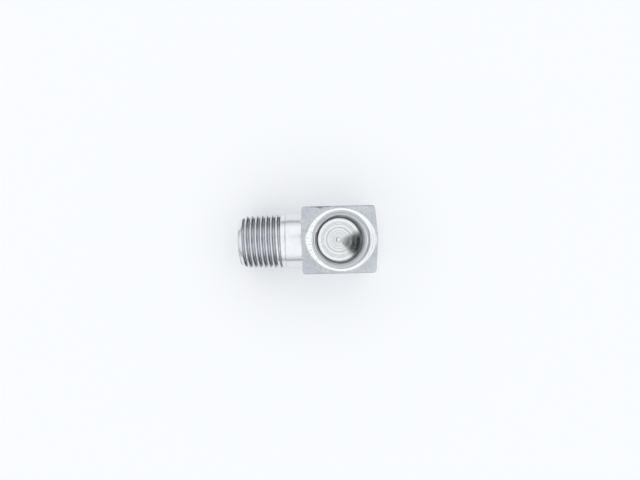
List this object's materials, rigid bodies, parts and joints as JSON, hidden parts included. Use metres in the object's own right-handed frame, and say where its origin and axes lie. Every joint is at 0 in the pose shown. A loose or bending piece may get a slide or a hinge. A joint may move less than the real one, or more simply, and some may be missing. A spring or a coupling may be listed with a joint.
{
  "type": "threaded elbow fitting",
  "caption": "Right-angle pipe elbow with a male taper-thread end, a female threaded port and a drilled passage between them.",
  "frame": {"origin": "point where the female port's axis and the male end's axis cross", "axes": "+Z out of the female port, -X out of the male threaded end, Y across the flat cheeks"},
  "size_m": [0.0245, 0.0118, 0.0118],
  "materials": {
    "plated_steel": "satin"
  },
  "bodies": {
    "root": {"elbow_body": "plated_steel"}
  },
  "joints": []
}
